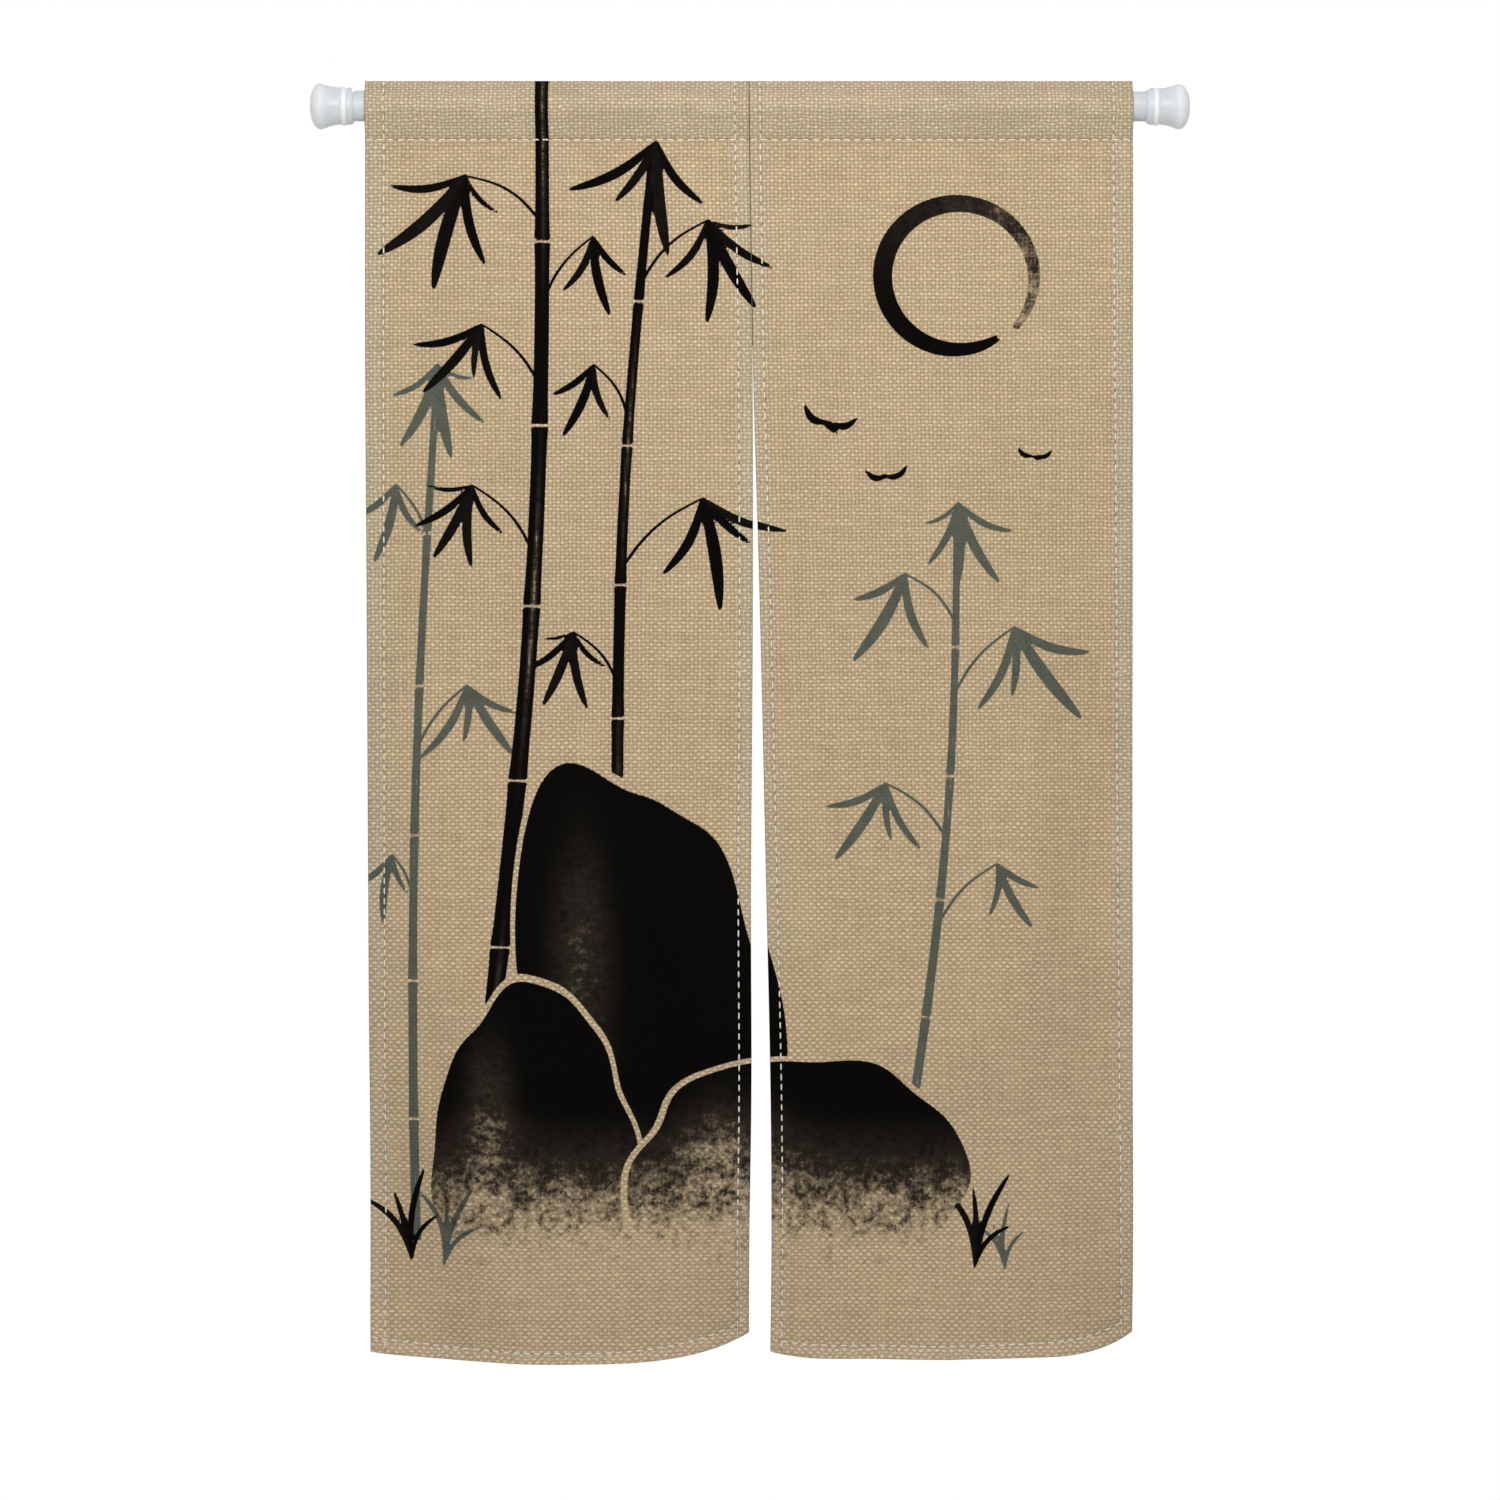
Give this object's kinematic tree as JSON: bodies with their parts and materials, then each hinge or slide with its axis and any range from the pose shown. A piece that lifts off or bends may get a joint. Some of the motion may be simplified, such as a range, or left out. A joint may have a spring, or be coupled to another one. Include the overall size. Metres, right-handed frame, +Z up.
{
  "type": "noren curtain and tension rod",
  "caption": "Split doorway curtain of coarse woven cloth panels with a rod pocket, hanging from a tension rod with flared end caps.",
  "frame": {"origin": "centre of the left cap's flat outer face, on the rod's axis", "axes": "+X along the rod to the right cap, +Z up, and the printed front of the cloth faces -Y"},
  "size_m": [0.9867, 0.0775, 1.4386],
  "materials": {
    "curtain_cloth": "coarse plain weave in mottled tan, matte, with a dark ink print",
    "rod_paint": "white coating, satin",
    "cap_plastic": "white, slightly translucent, smooth"
  },
  "bodies": {
    "root": {"left_panel": "curtain_cloth", "right_panel": "curtain_cloth", "rod_tube": "rod_paint", "rod_cap_left": "cap_plastic", "rod_cap_right": "cap_plastic"}
  },
  "joints": []
}
